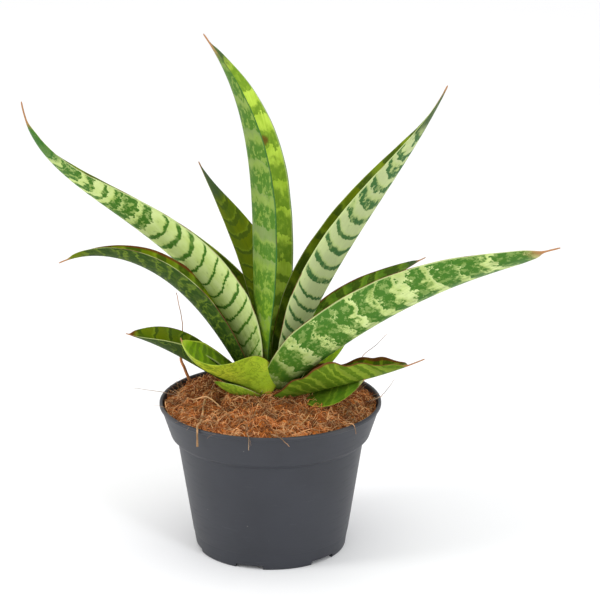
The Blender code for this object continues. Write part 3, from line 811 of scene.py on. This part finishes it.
# Roots and long fibres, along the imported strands. A "coir" point is a turn, a share of the edge radius and a
# height above the coir. A "rim" point is a turn, a distance outside the rim and a height above it.
strandWobble = 0.12 * mm
strands = {
    "aerialRoot": dict(
        node="aerial_root", slot="root", radius=0.85, tint=(196, 132, 84),
        taper=(1.0, 1.0, 1.0, 0.9, 0.35, 0.28, 0.22),
        points=[
            ("coir", 145, 0.955, -2.0), ("coir", 145, 0.96, 2.0), ("rim", 146, -2.5, 6.0),
            ("rim", 147, -0.6, 12.5), ("rim", 147, -1.5, 22.0), ("rim", 147, -1.9, 33.5),
            ("rim", 148, 1.0, 50.5)]),
    "hangingRoot": dict(
        node="hanging_root", slot="root", radius=0.6, tint=(206, 160, 112),
        taper=(0.5, 0.7, 0.8, 0.9, 0.9, 0.9, 0.8, 0.8, 1.0),
        points=[
            ("coir", 142, 0.66, 0.6), ("coir", 166, 0.56, 1.3), ("coir", 187, 0.57, 1.2),
            ("coir", 204, 0.67, 1.2), ("coir", 224, 0.87, 1.6), ("rim", 230, -1.5, 1.4),
            ("rim", 232, 1.0, 0.2), ("rim", 232, 1.2, -4.0), ("rim", 232, 1.1, -9.0)]),
    "rootBranch": dict(
        node="root_branch", slot="root", radius=0.4, tint=(212, 166, 118),
        points=[
            ("coir", 182, 0.85, 0.6), ("coir", 191, 0.73, 1.2), ("coir", 204, 0.65, 2.9),
            ("coir", 216, 0.61, 1.8), ("coir", 226, 0.61, 0.4)]),
    "fibreFrontLeft": dict(
        node="fibre_front_left", slot="fibre", radius=0.28, tint=(202, 168, 132),
        points=[
            ("coir", 254, 0.76, 0.6), ("coir", 257, 0.90, 0.9), ("rim", 259, -1.2, 1.1),
            ("rim", 260, 0.8, 0.2), ("rim", 260, 1.0, -6.5)]),
    "fibreFront": dict(
        node="fibre_front", slot="fibre", radius=0.26, tint=(196, 150, 108),
        points=[
            ("coir", 270, 0.86, 0.6), ("coir", 271, 0.94, 1.0), ("rim", 273, -1.0, 1.2),
            ("rim", 276, 0.8, 0.0), ("rim", 280, 1.2, -4.5)]),
    "fibreFrontRight": dict(
        node="fibre_front_right", slot="fibre", radius=0.26, tint=(204, 156, 112),
        points=[
            ("coir", 312, 0.86, 0.6), ("coir", 315, 0.94, 1.0), ("rim", 316, -1.0, 1.2),
            ("rim", 317, 0.8, 0.0), ("rim", 318, 1.1, -4.8)]),
    "fibreLongRight": dict(
        node="fibre_long_right", slot="fibre", radius=0.3, tint=(214, 164, 108),
        points=[
            ("coir", 287, 0.86, 0.6), ("coir", 296, 0.75, 1.2), ("coir", 306, 0.65, 1.4),
            ("coir", 316, 0.58, 0.6)]),
    "fibreRearLeft": dict(
        node="fibre_rear_left", slot="fibre", radius=0.28, tint=(206, 156, 112),
        points=[
            ("coir", 150, 0.88, 0.6), ("coir", 161, 0.77, 1.2), ("coir", 171, 0.73, 1.1),
            ("coir", 180, 0.72, 0.5)]),
    "fibreRearRight": dict(
        node="fibre_rear_right", slot="fibre", radius=0.2, tint=(190, 150, 120),
        points=[
            ("coir", 35, 0.92, 0.4), ("rim", 35, -2.0, 6.0), ("rim", 33, 1.0, 14.0),
            ("rim", 29, 6.0, 20.0), ("rim", 26, 11.0, 27.0)]),
    "fibreWispLeft": dict(
        node="fibre_wisp_left", slot="fibre", radius=0.18, tint=(196, 168, 144),
        points=[
            ("coir", 171, 0.90, 0.6), ("rim", 173, -1.2, 1.5), ("rim", 175, 5.0, 3.0),
            ("rim", 178, 14.0, 5.5)]),
    "fibreWispRight": dict(
        node="fibre_wisp_right", slot="fibre", radius=0.18, tint=(196, 168, 144),
        points=[
            ("coir", -3, 0.90, 0.6), ("rim", -1, -1.2, 1.5), ("rim", 2, 3.0, 4.5), ("rim", 5, 7.5, 9.5)]),
}


def strandPoint(where, turn, distance, lift):
    angle = math.radians(turn)
    if where == "coir":
        radius = distance * coirEdge
        x, y = radius * math.cos(angle), radius * math.sin(angle)
        return Vector((x, y, coirHeight(x, y) + lift * mm))
    radius = pot["rim"] + distance * mm
    return Vector((radius * math.cos(angle), radius * math.sin(angle), pot["height"] + lift * mm))


def makeStrand(name, strand, dice):
    points = [strandPoint(*point) for point in strand["points"]]
    path = smoothPath(points, 6)
    for point in path[1:]:
        point += Vector([dice.uniform(-1, 1) for _ in range(3)]) * strandWobble
    taper = strand.get("taper", (0.7, 1.0, 1.0, 0.8, 0.5))
    radii = []
    for index in range(len(path)):
        t = index / (len(path) - 1) * (len(taper) - 1)
        low = min(int(t), len(taper) - 2)
        radii.append((taper[low] + (taper[low + 1] - taper[low]) * (t - low)) * strand["radius"] * mm)
    material = fibreMaterial(name + "Skin", strand["tint"])
    curveFrom(name, [(path, radii)], material, strand["slot"], strand["node"], sides=2)


strandDice = random.Random(4)
for name, strand in strands.items():
    makeStrand(name, strand, strandDice)
print("roots and long fibres:", len(strands))


def crownMaterial():
    shader = Shader("crownSkin", IOR=1.4)
    drift = shader.noise(shader.place(), 240.0, 3.0)
    tint = shader.mix(drift, (150, 120, 70), (96, 66, 38))
    return shader.finish(tint, 0.8 + drift * 0.1, drift, 0.5, 0.0005)


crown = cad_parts["crown"]
crown.data.materials.clear()
crown.data.materials.append(crownMaterial())


# Floor, light and camera
studio = dict(
    floorSize=8.0, target=(0.016, 0.0, 0.1387), distance=1.26, elevation=17.35, lens=141.6,
    world=0.74, sun=0.97, sunAngle=70, sunTilt=(12, 4), leftPower=12.0, rightPower=12.0)


def floorMaterial():
    shader = Shader("floorPaper", IOR=1.4, Specular_IOR_Level=0.2)
    drift = shader.noise(shader.place(), 2.0, 2.0)
    return shader.finish(shader.mix(drift, (245, 245, 246), (250, 250, 250)), 0.6)


shape = bmesh.new()
bmesh.ops.create_grid(shape, x_segments=1, y_segments=1, size=studio["floorSize"] / 2)
floorMesh = bpy.data.meshes.new("floor")
shape.to_mesh(floorMesh)
shape.free()
floorMesh.materials.append(floorMaterial())
floor = bpy.data.objects.new("floor", floorMesh)
scene.collection.objects.link(floor)


def addLight(name, place, aim, size, power, tint=(1, 1, 1)):
    data = bpy.data.lights.new(name, "AREA")
    data.shape = "RECTANGLE"
    data.size, data.size_y = size
    data.energy = power
    data.color = tint
    light = bpy.data.objects.new(name, data)
    light.location = place
    light.rotation_euler = (Vector(aim) - Vector(place)).to_track_quat("-Z", "Y").to_euler()
    scene.collection.objects.link(light)


sunData = bpy.data.lights.new("skylight", "SUN")
sunData.energy = studio["sun"]
sunData.angle = math.radians(studio["sunAngle"])
sun = bpy.data.objects.new("skylight", sunData)
sun.rotation_euler = (*(math.radians(tilt) for tilt in studio["sunTilt"]), 0)
scene.collection.objects.link(sun)
addLight("leftSoftbox", (-1.5, -0.5, 0.8), (0, 0, 0.1), (0.5, 1.2), studio["leftPower"])
addLight("rightSoftbox", (1.0, -1.4, 0.7), (0, 0, 0.1), (0.35, 1.2), studio["rightPower"], (0.92, 0.95, 1.0))
scene.world = bpy.data.worlds.new("studio")
scene.world.use_nodes = True
background = scene.world.node_tree.nodes["Background"]
background.inputs["Color"].default_value = (1, 1, 1, 1)
background.inputs["Strength"].default_value = studio["world"]

angle = math.radians(studio["elevation"])
cameraData = bpy.data.cameras.new("camera")
cameraData.lens = studio["lens"]
cameraData.sensor_width = 36
cameraData.clip_end = 50
camera = bpy.data.objects.new("camera", cameraData)
towards = Vector((0, -math.cos(angle), math.sin(angle)))
camera.location = Vector(studio["target"]) + studio["distance"] * towards
camera.rotation_euler = (math.pi / 2 - angle, 0, 0)
scene.collection.objects.link(camera)
scene.camera = camera
scene.view_settings.view_transform = "Standard"
print("studio done")
